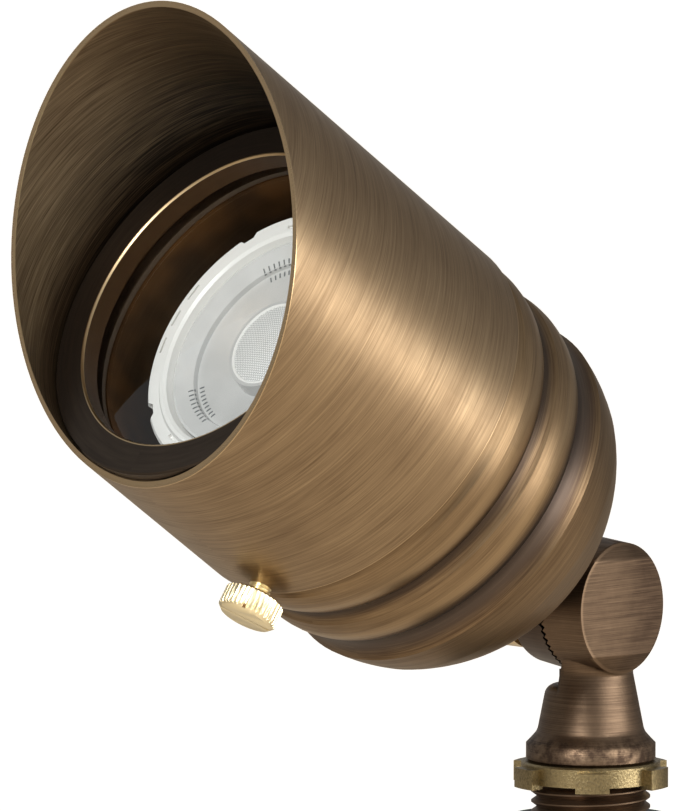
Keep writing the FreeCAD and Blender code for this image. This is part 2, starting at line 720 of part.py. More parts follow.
def make_stem():
    """Serrated disc, half-round neck, collar, flange and threaded end, cast in one."""
    body = new_body("knuckle_stem")
    flange_under = -S.pivot_drop
    thread_end = flange_under - S.thread_length
    neck_low = -12.0
    revolve(body, [
        (0, thread_end), (S.thread_radius - S.thread_depth, thread_end),
        (S.thread_radius, thread_end + S.thread_depth), (S.thread_radius, flange_under),
        (S.flange_radius - 0.45, flange_under), (S.flange_radius, flange_under + 0.45),
        (S.flange_radius, flange_under + S.flange_height - 0.6),
        (S.flange_radius - 0.6, flange_under + S.flange_height),
        (S.collar_radius + 0.6, flange_under + S.flange_height + 1.0),
        (S.collar_radius, flange_under + S.flange_height + 2.2, -2.6),
        (S.neck_radius, neck_low), (S.neck_radius, -6.0), (0, -6.0)])
    sketch = new_sketch(body, "XZ_Plane")
    outline(sketch, box_outline(-20, -S.shoulder_drop, stem_crest, 20))
    pocket(body, sketch, 60.0, middle=True)
    near = -S.shoulder_drop.value
    bevel(body, lambda e: abs(e.BoundBox.ZMin - near) < 1e-3 and abs(e.BoundBox.ZMax - near)
          < 1e-3 and e.BoundBox.YLength > 3 and e.BoundBox.XLength > 3, 2.0)

    disc = new_sketch(body, "YZ_Plane", stem_crest)
    circle(disc, 0, 0, S.knuckle_radius)
    face = new_sketch(body, "YZ_Plane", S.stem_face)
    oval = Part.Ellipse(Vector(0, 0, 0), S.stem_face_height.value / 2,
                        S.stem_face_width.value / 2)
    oval.rotate(Placement(Vector(), Rotation(Vector(0, 0, 1), 90)))
    face.addGeometry(oval, False)
    loft(body, [disc, face], True)

    sketch = new_sketch(body, "YZ_Plane", stem_crest)
    circle(sketch, 0, 0, S.chamber_radius)
    pocket(body, sketch, S.chamber_depth, reverse=True)
    sketch = new_sketch(body, "YZ_Plane", stem_crest)
    circle(sketch, 0, 0, S.clamp_radius + S.slide_gap)
    pocket(body, sketch, S.stem_face - stem_crest - 2.2, reverse=True)

    sketch = new_sketch(body, "XY_Plane", thread_end)
    circle(sketch, 0, 0, S.stem_bore)
    pocket(body, sketch, S.thread_length + 5.0, reverse=True)
    sketch = new_sketch(body, "XY_Plane", flange_under)
    circle(sketch, stem_crest + S.chamber_depth + 1.4, 0, S.wire_radius)
    pocket(body, sketch, S.pivot_drop - 4.2, reverse=True)

    serrate(body, stem_crest, 1)
    keep(body, stem_place)


def make_head_knuckle():
    """The head's half of the knuckle. Its foot stands on the flat of the dome and its
    threaded shank goes through the wall. The body's origin is the pivot, +Z forward."""
    body = new_body("head_knuckle")
    foot = S.neck_length
    shank_end = foot + S.dome_wall + S.nut_washer + S.nut_height + 1.5
    free = S.knuckle_radius + 0.6
    revolve(body, [
        (0, 6.0), (S.neck_radius, 6.0), (S.neck_radius, free + 0.6),
        (S.foot_radius, foot - 2.2), (S.foot_radius, foot), (S.shank_radius, foot),
        (S.shank_radius, shank_end - 0.8), (S.shank_radius - 0.8, shank_end),
        (0, shank_end)], offset=S.pivot_rise)
    sketch = new_sketch(body, "XZ_Plane")
    outline(sketch, box_outline(head_crest, -20, 20, free))
    pocket(body, sketch, 60.0, middle=True)

    disc = new_sketch(body, "XY_Plane")
    outline(disc, [(head_crest, 0), (head_crest, S.knuckle_radius),
                   (-S.head_disc_back, S.knuckle_radius - 1.0), (-S.head_disc_back, 0)])
    feature = body.newObject("PartDesign::Revolution", "head_knuckle_disc")
    feature.Profile, feature.ReferenceAxis, feature.Angle = disc, (disc, ["H_Axis"]), 360
    settle(body, feature, True)

    sketch = new_sketch(body, "YZ_Plane", head_crest)
    circle(sketch, 0, 0, S.chamber_radius)
    pocket(body, sketch, S.chamber_depth)
    sketch = new_sketch(body, "YZ_Plane", head_crest)
    circle(sketch, 0, 0, S.clamp_radius + S.slide_gap)
    pocket(body, sketch, S.head_disc_back + 1)

    sketch = new_sketch(body, "XY_Plane", shank_end)
    circle(sketch, 0, -S.pivot_rise, S.wire_radius + 0.4)
    pocket(body, sketch, shank_end - free - 0.4)
    sketch = new_sketch(body, "XY_Plane", free + 2.4)
    circle(sketch, head_crest - S.chamber_depth - 0.9, -S.pivot_rise, S.wire_radius)
    pocket(body, sketch, S.knuckle_radius - 1.5)
    serrate(body, head_crest, -1)
    keep(body, knuckle_place)


def hexagon(flats):
    corner = flats / (2 * cosine(Size(30.0, "30.0")))
    return [(corner, 0), (corner / 2, flats / 2), (-corner / 2, flats / 2), (-corner, 0),
            (-corner / 2, -flats / 2), (corner / 2, -flats / 2)]


def make_shank_nut():
    """Washer and hexagon nut inside the dome; they pull the knuckle against the flat."""
    wall = S.dome_wall - dome_flat
    keep(turned("shank_washer", box_outline(
        S.shank_radius + S.slide_gap, wall, S.nut_width / 2, wall + S.nut_washer)), head_place)
    body = new_body("shank_nut")
    sketch = new_sketch(body, "XY_Plane", wall + S.nut_washer)
    outline(sketch, hexagon(S.nut_width))
    pad(body, sketch, S.nut_height)
    sketch = new_sketch(body, "XY_Plane", wall + S.nut_washer)
    circle(sketch, 0, 0, S.shank_radius + S.slide_gap)
    pocket(body, sketch, S.nut_height + 1, reverse=True)
    keep(body, head_place)


def make_clamp():
    """Round knob and screw that pull the two serrated discs together, with its washer."""
    away = Placement(pivot_at, Rotation(Vector(0, 1, 0), -90))
    seat = S.head_disc_back
    under = seat + S.clamp_washer_height
    knob, shank = S.clamp_knob_radius, S.clamp_radius
    keep(turned("clamp_washer", box_outline(
        shank + S.slide_gap, seat, S.clamp_knob_radius - 3.2, under)), away)
    tip = stem_crest - (S.stem_face - 3.0)
    body = turned("clamp_knob", [
        (0, tip), (shank - 0.5, tip), (shank, tip + 0.5), (shank, under),
        (knob - 3.6, under), (knob - 3.6, under + S.clamp_neck), (knob - 1.0, under
                                                                 + S.clamp_neck),
        (knob, under + S.clamp_neck + 1.0), (knob, S.clamp_face - 1.2),
        (knob - 1.2, S.clamp_face), (0, S.clamp_face)])
    sketch = new_sketch(body, "XZ_Plane")
    half = 0.8
    outline(sketch, box_outline(-half, S.clamp_face - 1.6, half, S.clamp_face + 1))
    pocket(body, sketch, 3 * knob, middle=True)
    keep(body, away)


# ------------------------------------------------------------------ locknut and spike
def make_locknut():
    """Flat ring with six lugs that sit a little lower than the ring."""
    top = -S.seat_gap
    low = top - S.locknut_height
    bore = S.thread_radius + S.slide_gap
    body = turned("locknut", [
        (bore, low + 0.4), (bore + 0.4, low), (S.locknut_radius, low),
        (S.locknut_radius, top - 0.3), (S.locknut_radius - 0.3, top), (bore, top)])
    half = S.lug_width / 2
    inner, outer = S.locknut_radius - 0.7, S.lug_radius
    sketch = new_sketch(body, "XY_Plane", low - S.lug_drop)
    outline(sketch, [
        (inner * cosine(half), -inner * sine(half)), (outer * cosine(half), -outer * sine(half)),
        (outer * cosine(half), outer * sine(half), outer), (inner * cosine(half),
                                                            inner * sine(half))])
    lug = pad(body, sketch, S.locknut_height)
    repeat_round(body, lug, 6)
    under_flange = lift(0, 0, pivot_height - S.pivot_drop)
    keep(body, under_flange * Placement(Vector(), Rotation(Vector(0, 0, 1), S.lug_turn.value)))


def make_spike():
    """Moulded spike: threaded hub, collar on the soil, wire chamber, four tapered fins."""
    bore = S.thread_radius + S.slide_gap
    body = turned("ground_spike", [
        (0, -S.hub_bottom), (S.hub_radius - 1.2, -S.hub_bottom), (S.hub_radius, 0),
        (S.spike_collar_radius, 0), (S.spike_collar_radius, S.spike_collar_height - 1.0),
        (S.spike_collar_radius - 1.0, S.spike_collar_height),
        (S.hub_radius + 0.6, S.spike_collar_height),
        (S.hub_radius, S.spike_collar_height + 0.6), (S.hub_radius, S.hub_top - 0.8),
        (S.hub_radius - 0.8, S.hub_top), (0, S.hub_top)])
    top = 3.0 - S.hub_bottom
    wide = S.hub_radius - 1.6
    for plane in ("XZ_Plane", "YZ_Plane"):
        sketch = new_sketch(body, plane)
        outline(sketch, [
            (-wide, top), (-wide, -S.hub_bottom - 14), (-S.fin_point, 3.0 - S.spike_length),
            (0, -S.spike_length), (S.fin_point, 3.0 - S.spike_length),
            (wide, -S.hub_bottom - 14), (wide, top)])
        pad(body, sketch, S.fin_thickness, middle=True)
    sketch = new_sketch(body, "XY_Plane", S.hub_top)
    circle(sketch, 0, 0, bore)
    pocket(body, sketch, S.hub_top + S.hub_bottom - S.hub_wall)
    sketch = new_sketch(body, "XZ_Plane")
    circle(sketch, 0, -S.outlet_depth, S.outlet_radius)
    pocket(body, sketch, S.hub_radius + 2)
    keep(body, Placement())


def write_parts():
    """Look for failed objects, then write one file for each piece."""
    doc.recompute()
    for item in doc.Objects:
        if "Invalid" in item.State or "Error" in item.State:
            raise ValueError("%s: %s" % (item.Label, item.State))
    os.makedirs("parts", exist_ok=True)
    for piece in parts:
        shape = piece.Shape
        if shape.isNull() or not shape.isValid() or not shape.Solids:
            raise ValueError(piece.Label + ": bad shape")
        shape.exportStep("parts/%s.step" % piece.Label)
        box = shape.BoundBox
        print("%-20s solids %d faces %4d volume %9.1f  z %7.2f to %7.2f" % (
            piece.Label, len(shape.Solids), len(shape.Faces), shape.Volume, box.ZMin, box.ZMax))


make_shroud()
make_thumb_screw()
make_housing()
make_lens_stack()
make_lamp()
make_socket()
make_stem()
make_head_knuckle()
make_shank_nut()
make_clamp()
make_locknut()
make_spike()
write_parts()
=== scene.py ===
# %% [markdown]
# # A bronze garden spotlight
# The light is a beaded brass cup with a slant-cut glare shroud. It tilts on a serrated
# knuckle, which stands on a threaded stem and a ground spike. All 24 pieces come in
# from the packed model and keep their place. This lesson gives them their finish,
# models the few things that a camera sees only up close, and lights the whole like a
# catalogue picture on white. Every length is in metres.

# %% Load the packed model
import math

import bmesh
import bpy
from mathutils import Matrix, Vector
from mathutils.bvhtree import BVHTree


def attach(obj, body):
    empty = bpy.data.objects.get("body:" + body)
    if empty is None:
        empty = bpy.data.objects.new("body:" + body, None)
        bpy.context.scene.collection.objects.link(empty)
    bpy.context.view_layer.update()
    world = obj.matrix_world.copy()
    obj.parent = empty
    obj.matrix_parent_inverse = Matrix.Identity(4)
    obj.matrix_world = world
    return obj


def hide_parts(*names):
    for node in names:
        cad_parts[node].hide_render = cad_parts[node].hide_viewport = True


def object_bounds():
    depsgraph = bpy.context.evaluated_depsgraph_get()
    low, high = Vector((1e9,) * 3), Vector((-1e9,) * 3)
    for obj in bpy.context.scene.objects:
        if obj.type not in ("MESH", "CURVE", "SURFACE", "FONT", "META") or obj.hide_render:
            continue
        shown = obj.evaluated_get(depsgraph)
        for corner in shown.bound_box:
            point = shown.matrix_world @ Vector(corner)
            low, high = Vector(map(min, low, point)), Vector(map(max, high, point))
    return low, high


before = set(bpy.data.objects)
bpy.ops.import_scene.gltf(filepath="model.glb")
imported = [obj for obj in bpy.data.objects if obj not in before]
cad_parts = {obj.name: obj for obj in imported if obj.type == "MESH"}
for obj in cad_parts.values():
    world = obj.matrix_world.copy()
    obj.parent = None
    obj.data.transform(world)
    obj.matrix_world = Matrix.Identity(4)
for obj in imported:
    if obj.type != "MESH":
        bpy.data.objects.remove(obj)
packed_box = [list(map(float, corner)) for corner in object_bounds()]
print("packed box:", packed_box)

# %% [markdown]
# ## Where the head points
# Most pieces are round about the beam, which leans 34.8 degrees above level. It pays
# to name that direction once. The beam is the head's own Z, the shroud's long side is
# its Y, and every pattern that runs round the lamp is drawn in these coordinates.

# %% The head's own axes
AIM = math.radians(34.8)
PIVOT = Vector((0.0, 0.0, 0.0495))
PIVOT_BACK, PIVOT_RISE = 0.0686, 0.0017
lean = Matrix.Rotation(math.radians(90.0) - AIM, 4, "X")
HEAD = (Matrix.Translation(PIVOT) @ lean
        @ Matrix.Translation((0.0, -PIVOT_RISE, PIVOT_BACK)))
BEAM = (lean @ Vector((0.0, 0.0, 1.0))).normalized()
KNUCKLE = Matrix.Translation(PIVOT)
print("beam", [round(v, 4) for v in BEAM],
      "shroud rear", [round(v, 4) for v in HEAD.translation])

# %% [markdown]
# ## The camera
# A catalogue picture is taken with a long lens from a few metres away, so the light
# hardly changes size from front to back. The camera could be aimed by a Track To
# constraint, but its three axes written out show exactly how it stands: 6 degrees
# above level and turned 47 degrees. The lens is given in pixels of the 811 pixel high
# frame, and the 36 mm sensor turns it into millimetres.

# %% Camera
TURN, RISE = math.radians(47.1), math.radians(6.0)
STAND = (1.42175, -1.38116, 0.29271)
LENS_PIXELS, FRAME_HIGH_PIXELS, SENSOR_MM = 11428.0, 811.0, 36.0
right = Vector((math.cos(TURN), math.sin(TURN), 0.0))
back = Vector((math.sin(TURN) * math.cos(RISE), -math.cos(TURN) * math.cos(RISE),
               math.sin(RISE)))
camera_data = bpy.data.cameras.new("catalogue camera")
camera_data.sensor_width = SENSOR_MM
camera_data.lens = LENS_PIXELS / FRAME_HIGH_PIXELS * SENSOR_MM
camera_data.clip_end = 20.0
camera = bpy.data.objects.new("catalogue camera", camera_data)
facing = Matrix((right, back.cross(right), back)).transposed().to_4x4()
camera.matrix_world = Matrix.Translation(STAND) @ facing
bpy.context.scene.collection.objects.link(camera)
bpy.context.scene.camera = camera
bpy.context.scene.view_settings.view_transform = "Standard"
print("lens", round(camera_data.lens, 1), "mm")

# %% [markdown]
# ## Shader arithmetic as plain Python
# Node maths is easier to read as a formula. This small class wraps a socket, so that
# `1 - mask * 0.5` builds the Math nodes by itself. Any other node comes from `node`,
# which sets its options first and then fills or links its inputs.

# %% A socket that can do sums
class Wire:
    """One output socket of a shader node."""

    def __init__(self, tree, socket=None):
        self.tree, self.socket = tree, socket

    def node(self, kind, settings=None, out=0, **inputs):
        """A new node. Its inputs go by name, or by number as i0, i1 and so on."""
        made = self.tree.nodes.new("ShaderNode" + kind)
        for name, value in (settings or {}).items():
            setattr(made, name, value)
        for name, value in inputs.items():
            number = name[1:]
            key = int(number) if number.isdigit() else name.replace("_", " ")
            self.feed(made.inputs[key], value)
        return Wire(self.tree, made.outputs[out])

    def feed(self, slot, value):
        if isinstance(value, Wire):
            self.tree.links.new(value.socket, slot)
        else:
            slot.default_value = value

    def other(self, number):
        """Another output of the same node."""
        return Wire(self.tree, self.socket.node.outputs[number])

    def math(self, operation, *others):
        values = {"i%d" % i: v for i, v in enumerate((self, *others))}
        return self.node("Math", {"operation": operation}, **values)

    def __add__(self, other):
        return self.math("ADD", other)

    def __radd__(self, other):
        return self.math("ADD", other)

    def __sub__(self, other):
        return self.math("SUBTRACT", other)

    def __rsub__(self, other):
        return self.node("Math", {"operation": "SUBTRACT"}, i0=other, i1=self)

    def __mul__(self, other):
        return self.math("MULTIPLY", other)

    def __rmul__(self, other):
        return self.math("MULTIPLY", other)

    def __truediv__(self, other):
        return self.math("DIVIDE", other)

    def between(self, low, high):
        """0 below low, 1 above high, a smooth step between them."""
        return self.node("MapRange", {"interpolation_type": "SMOOTHSTEP"}, Value=self,
                         From_Min=low, From_Max=high)

    def held(self):
        """Kept between 0 and 1."""
        return self.math("MAXIMUM", 0.0).math("MINIMUM", 1.0)

    def blend(self, first, second):
        """The first colour where this factor is 0, the second where it is 1."""
        a, b = [c if isinstance(c, Wire) else (*c, 1.0) for c in (first, second)]
        return self.node("Mix", {"data_type": "RGBA"}, 2, i0=self, i6=a, i7=b)

    def noise(self, scale, detail=2.0, roughness=0.5):
        return self.node("TexNoise", Vector=self, Scale=scale, Detail=detail,
                         Roughness=roughness)


print("a wire knows:", [name for name in vars(Wire) if not name.startswith("_")])

# %% [markdown]
# ## Starting a material
# Each finish is one Principled shader. A number that is the same all over is set on
# the shader's own socket, and only what varies over the surface is linked. The
# patterns could be pictures on unwrapped faces. Object coordinates need no unwrapping
# and stay on the piece when it moves, and a Mapping node can turn them into the head's
# or a screw's axes, so that one pattern runs true round its own piece.

# %% Helpers for materials
finishes = {}


def start(name, **constants):
    """A material with one Principled shader, its plain numbers on its own sockets."""
    material = bpy.data.materials.new(name)
    material.use_nodes = True
    tree = material.node_tree
    shader = tree.nodes["Principled BSDF"]
    for key, value in constants.items():
        shader.inputs[key.replace("_", " ")].default_value = value
    finishes[name] = material
    return Wire(tree), shader


def finish(wire, shader, **links):
    for key, value in links.items():
        wire.feed(shader.inputs[key.replace("_", " ")], value)


def place_in(wire, frame_matrix=None):
    """Object coordinates, or the same turned into another frame."""
    place = wire.node("TexCoord", out=3)
    if frame_matrix is None:
        return place
    home = frame_matrix.inverted()
    return wire.node("Mapping", {"vector_type": "POINT"}, Vector=place,
                     Location=tuple(home.translation),
                     Rotation=tuple(home.to_euler("XYZ")))


def split(place):
    x = place.node("SeparateXYZ", Vector=place)
    return x, x.other(1), x.other(2)


def radius_of(x, y):
    return (x * x + y * y).math("SQRT")


def bump(height, strength, distance):
    return height.node("Bump", Height=height, Strength=strength, Distance=distance)


print("finishes so far:", len(finishes))

# %% [markdown]
# ## Brushed antique bronze
# The shroud and housing are spun on a lathe, darkened in a bath and rubbed back with an
# abrasive pad while they turn. So the scratches are fine rings round the beam, the
# rubbed metal is a warm gold-brown and the bath's dark brown stays in between. A Wave
# texture would draw rings too, but all alike. Noise read in cylinder coordinates, very
# fast along the beam and slow round it, gives scratches that start and end.

# %% Ring scratches
SCRATCHES_A_METRE, SCRATCH_TURN, DEPTH_SHARE = 5200.0, 3.2, 0.3
SCRATCH_LAYERS = ((1.0, SCRATCH_TURN, 2.0), (0.36, SCRATCH_TURN * 0.6, 2.0),
                  (0.06, 0.9, 3.0))


def ring_scratches(place):
    """Fine scratches and broad bands that run round the Z axis."""
    x, y, z = split(place)
    angle = x.math("ARCTAN2", y)
    depth = radius_of(x, y) * SCRATCHES_A_METRE * DEPTH_SHARE
    layers = []
    for rate, turn, detail in SCRATCH_LAYERS:
        spot = place.node("CombineXYZ", X=angle * turn,
                          Y=z * (SCRATCHES_A_METRE * rate), Z=depth * rate)
        layers.append(spot.noise(1.0, detail, 0.6))
    return layers[0] * 0.62 + layers[1] * 0.38, layers[2]


def brushed_bronze(name, rubbed, dark, roughness=0.30, more_wear_and_highlight=None, shade=None):
    """Rubbed metal over dark bath, by scratches, bands and broad patches."""
    wire, shader = start(name, Metallic=1.0)
    place = place_in(wire, HEAD)
    scratches, bands = ring_scratches(place)
    patches = place.noise(90.0, 3.0, 0.55)
    worn = ((scratches - 0.5) * 1.35 + (bands - 0.5) * 0.40 + (patches - 0.5) * 0.3
            + 0.5)
    # For the housing this adds crest wear and painted highlight bands.
    if more_wear_and_highlight:
        worn = worn + more_wear_and_highlight(place)
    worn = worn.held()
    colour = worn.blend(dark, rubbed)
    rough = (1.0 - worn) * 0.14 + roughness
    if shade:
        colour, rough, scratches = shade(place, colour, rough, scratches)
    finish(wire, shader, Base_Color=colour, Roughness=rough,
           Normal=bump(scratches, 0.30, 0.00005))


print("scratches", round(1000.0 / SCRATCHES_A_METRE, 2), "mm apart")

# %% [markdown]
# ## The shroud's two sides
# The shroud is one thin tube, so its inside has to be told from its outside by radius.
# Inside it is matt dark brown, so that it doesn't glare, and painted shade darkens it
# further the deeper it goes. The slanted cut bares a thin bright edge of clean brass. The
# faces could be picked and given three materials. A distance to the cut, worked out from
# its slope, sets how far the painted shade deepens.

# %% Shroud finish
SHROUD_RADIUS, SHROUD_WALL, SHROUD_LONG = 0.0356, 0.0009, 0.0759
CUT_SLOPE = math.tan(math.radians(29.6))
CUT_EDGE, REAR_EDGE, INSIDE_SHADE_FADE = (0.00012, 0.00030), (0.00008, 0.0002), (0.0, 0.032)
SHROUD_BROWN, SHROUD_GOLD = (0.118, 0.070, 0.038), (0.425, 0.305, 0.178)
INSIDE_DARK_AND_SHADE, BARE_BRASS = (0.018, 0.014, 0.011), (0.52, 0.37, 0.21)


def shroud_sides(place, colour, rough, scratches):
    """Dark inside with painted shade, deeper away from the cut; bare brass along the cut
    and, fainter, along the rear edge.
    """
    x, y, z = split(place)
    inside = 1.0 - radius_of(x, y).between(SHROUD_RADIUS - 0.6 * SHROUD_WALL,
                                          SHROUD_RADIUS - 0.3 * SHROUD_WALL)
    to_cut = SHROUD_LONG - z + (y - SHROUD_RADIUS) * CUT_SLOPE
    cut = 1.0 - to_cut.between(*CUT_EDGE)
    rear = 1.0 - z.between(*REAR_EDGE)
    bare = (cut + rear * 0.6).held()
    # Painted shade inside: darker the further in from the cut, streaked by the scratches,
    # over the inside's own dark brown.
    dark_and_shade = (to_cut.between(*INSIDE_SHADE_FADE) * 0.72 + (0.5 - scratches) * 1.3 + 0.24).held()
    streaked = (dark_and_shade * inside).blend(colour, INSIDE_DARK_AND_SHADE)
    colour = bare.blend(streaked, BARE_BRASS)
    return colour, rough + inside * 0.06 - bare * 0.12, scratches


brushed_bronze("shroud bronze", SHROUD_GOLD, SHROUD_BROWN, shade=shroud_sides)
print("cut slope", round(CUT_SLOPE, 3))

# %% [markdown]
# ## The housing's beads
# On the housing the pad rubs the crests of the beads and misses the hollows, so the crests
# are gold-brown. Two bands on the rear flanks are painted highlight. The coves are
# grey-brown, partly with a painted sheen, and their corners almost black with painted
# shade. Pointiness could find crests by itself, but only in one render engine.
# Radius and place along the beam say the same, and they can be baked.

# %% Housing wear
CUP_BROWN, CUP_GOLD = (0.092, 0.054, 0.029), (0.345, 0.237, 0.130)
BEADS_ALONG, VALLEY_TO_CREST = (-0.0300, -0.0235), (0.0326, 0.0350)
FLANKS, FLANK_HALF = (-0.0076, -0.0174), 0.0019


def band(z, middle, half):
    """1 at the middle of a ring round the beam, 0 at half its width from there."""
    off = (z - middle) / half
    return (1.0 - off * off).held()


def bead_wear_and_highlight(place):
    """How much more the pad rubs the crests, plus two painted highlight bands on the rear
    flanks.
    """
    x, y, z = split(place)
    beads = z.between(*BEADS_ALONG)
    crest = radius_of(x, y).between(*VALLEY_TO_CREST)
    # Painted highlight: two bands on the rear flanks lighten the metal where the bright
    # band falls.
    flanks = band(z, FLANKS[0], FLANK_HALF) + band(z, FLANKS[1], FLANK_HALF)
    return beads * (crest * 0.58 - 0.48) + flanks * 0.5 - 0.02


print("bead flanks at", [round(1000.0 * z, 1) for z in FLANKS], "mm")

# %% [markdown]
# ## The housing's coves and bore
# The coves are grey, partly the bath's grey and partly a painted sheen, and the bore round
# the lamp keeps its amber. The bore only saw the bath and no pad, so it has no scratches
# and reflects more softly. Ambient occlusion could darken the corners; here two narrow
# bands of painted shade do the same and can be baked.

# %% Housing finish
BORE_REACH, BORE_FLOOR = (0.0318, 0.0324), (-0.0262, -0.0258)
COVE_REACH, LAST_COVE, UNDER_SHROUD = (0.0326, 0.0341), (-0.0275, -0.0225), (0.0, 0.001)
CORNERS = ((-0.0108, 0.0012), (-0.0212, 0.0013))
AMBER, DEEP_AMBER = (0.155, 0.070, 0.022), (0.050, 0.026, 0.013)
COVE_GREY_AND_SHEEN, CORNER_SHADE = (0.100, 0.090, 0.086), (0.028, 0.021, 0.018)


def bore_and_coves(place, colour, rough, scratches):
    """Amber bore, grey coves with a painted sheen, and painted shade in the corners behind
    each bead.
    """
    x, y, z = split(place)
    reach = radius_of(x, y)
    inside = (1.0 - reach.between(*BORE_REACH)) * z.between(*BORE_FLOOR)
    amber = place.noise(60.0, 2.0).between(0.35, 0.65).blend(AMBER, DEEP_AMBER)
    cove = (1.0 - reach.between(*COVE_REACH)) * z.between(*LAST_COVE)
    cove = cove * (1.0 - z.between(*UNDER_SHROUD))
    # The coves' grey is partly the bath's grey and partly a painted sheen.
    colour = (cove * 0.45).blend(colour, COVE_GREY_AND_SHEEN)
    # Painted shade: two near-black bands in the corners behind the beads.
    corners = band(z, *CORNERS[0]) + band(z, *CORNERS[1])
    colour = (corners * 0.55).blend(colour, CORNER_SHADE)
    return (inside.blend(colour, amber), rough + inside * 0.14 - cove * 0.06,
            scratches * (1.0 - inside))


brushed_bronze("housing bronze", CUP_GOLD, CUP_BROWN, roughness=0.33,
               more_wear_and_highlight=bead_wear_and_highlight, shade=bore_and_coves)
print("cove corners at", [round(1000.0 * z, 1) for z, _ in CORNERS], "mm")

# %% [markdown]
# ## The lens ring
# The ring that clamps the glass is blackened. Its bore is amber, and the lathe tool
# left a thin bright line where face and bore meet. The line could be a bevel of its
# own in bare brass. At a seventh of a millimetre, a mask by radius does as well.

# %% Lens ring finish
RING_BORE, LINE_REACH = (0.02862, 0.02885), (0.02885, 0.02900)
RING_FRONT = (0.03765, 0.03772)
RING_AMBER, LINE_BRASS = (0.070, 0.037, 0.017), (0.60, 0.44, 0.25)


def ring_edge(place, colour, rough, scratches):
    """Dark face, amber bore, and a thin bright line where the two meet."""
    x, y, z = split(place)
    reach = radius_of(x, y)
    bore = 1.0 - reach.between(*RING_BORE)
    line = (1.0 - reach.between(*LINE_REACH)) * z.between(*RING_FRONT)
    colour = bore.blend(colour, RING_AMBER)
    return line.blend(colour, LINE_BRASS), rough - line * 0.1, scratches


brushed_bronze("lens ring bronze", (0.090, 0.068, 0.050), (0.034, 0.026, 0.021),
               roughness=0.34, shade=ring_edge)
print("bronze finishes:", sorted(finishes))

# %% [markdown]
# ## Cast bronze
# The two knuckle halves are castings, brushed in straight strokes. Stretched noise
# makes the strokes, a finer noise the grain and a coarser one the lumps of the casting
# skin. The lumps could be sculpted, but they are under a tenth of a millimetre high.

# %% Cast finish
STROKES, GRAIN, LUMPS = (60.0, 90.0, 6800.0), 1500.0, 260.0


def cast_bronze(name, rubbed, dark, detail=None):
    """Straight strokes over a grainy casting skin, in the knuckle's own axes."""
    wire, shader = start(name, Metallic=1.0)
    place = place_in(wire, KNUCKLE)
    x, y, z = split(place)
    strokes = place.node("CombineXYZ", X=x * STROKES[0], Y=y * STROKES[1],
                         Z=z * STROKES[2])
    lines = strokes.noise(1.0, 2.0, 0.6)
    grain = place.noise(GRAIN, 3.0, 0.6)
    cast = place.noise(LUMPS, 4.0, 0.6)
    worn = (lines - 0.5) * 1.1 + (cast - 0.5) * 0.4 + 0.45
    skin, rough = 0.25, 0.0
    if detail:
        worn, skin, rough = detail(place, worn)
    worn = worn.held()
    finish(wire, shader, Base_Color=worn.blend(dark, rubbed),
           Roughness=(1.0 - worn) * 0.14 + 0.26 + rough,
           Normal=bump(lines * 0.12 + grain * 0.15 + cast * skin, 0.35, 0.00008))


print("strokes", round(1000.0 / STROKES[2], 2), "mm apart")

# %% [markdown]
# ## The stem's face and flange
# The stem's oval face is ground flat. Its rim and the face on the side that the light
# reaches get a painted highlight, and the face is painted darker on the far side. The
# flange at its foot was never brushed, so the lumpy casting skin and the bath's dark
# colour stay there. The faces could be picked by hand. Both zones are found by place in
# the knuckle's coordinates instead, which allows soft edges. The head's half of the
# knuckle needs no such zones. It is plain cast bronze, darker as painted shade, because it
# sits in the housing's shadow.

# %% Stem finish
FACE_OUT, OVAL_WIDE, OVAL_HIGH = (0.0076, 0.00775), 0.0100, 0.0115
LIT_SIDE, FLANGE_LUMPS = (-0.003, 0.008), 520.0
FLANGE_TOP, FLANGE_FOOT = (-0.0240, -0.0218), (-0.02735, -0.02725)


def stem_wear(place, worn):
    """Painted highlight on the lit side of the oval face and its rim; dark, lumpy casting
    skin on the flange.
    """
    x, y, z = split(place)
    oval = radius_of(y / OVAL_WIDE, z / OVAL_HIGH)
    face = x.between(*FACE_OUT) * (1.0 - oval.between(1.01, 1.05))
    # Painted light: the face and its rim are lighter on the side toward the light and
    # darker on the far side.
    lit_side = 1.0 - y.between(*LIT_SIDE)
    edge = oval.between(0.93, 1.0) * face * lit_side
    flange = (1.0 - z.between(*FLANGE_TOP)) * z.between(*FLANGE_FOOT)
    lumps = place.noise(FLANGE_LUMPS, 3.0, 0.65)
    worn = (worn + edge * 0.7 + face * (lit_side * 0.34 - 0.28)
            + flange * (lumps - 0.52) * 2.6)
    return worn, flange * 4.0 + 0.20, face * 0.16 + flange * 0.04 + 0.10


cast_bronze("stem bronze", (0.225, 0.152, 0.096), (0.064, 0.041, 0.028), stem_wear)
# The head's half is a darker copy of the same cast bronze: painted shade under the
# housing.
cast_bronze("head knuckle bronze in painted shade", (0.110, 0.070, 0.044), (0.036, 0.023, 0.017))
print("oval face", 2000.0 * OVAL_WIDE, "x", 2000.0 * OVAL_HIGH, "mm")

# %% [markdown]
# ## Bright brass
# The two screws that a hand turns are left bright: turned, tumbled and lacquered. The
# locknut is plain sand-coloured brass with a dry, slightly pitted skin. One function makes
# them all, and the small steel and aluminium pieces inside, because they differ only in
# tint, shine and grain. The thumb screw's driver slot gets a dark line of painted shadow,
# which is found in the screw's own axes.

# %% Brass and steel finishes
SCREW_SIDE, SCREW_PLACE, SCREW_STAND_OFF = 0.0010, 0.0020, 0.0016
SCREW_HEAD, SLOT_WIDTH, SLOT_DEPTH = 0.0046, 0.0006, 0.0009
SLOT_TURN = math.radians(37.0)
SLOT_SHADOW = (0.20, 0.085, 0.018)
SCREW = (HEAD @ Matrix.Translation((SCREW_SIDE, -SHROUD_RADIUS - SCREW_STAND_OFF,
                                    SCREW_PLACE))
         @ Matrix.Rotation(math.radians(-90.0), 4, "X"))


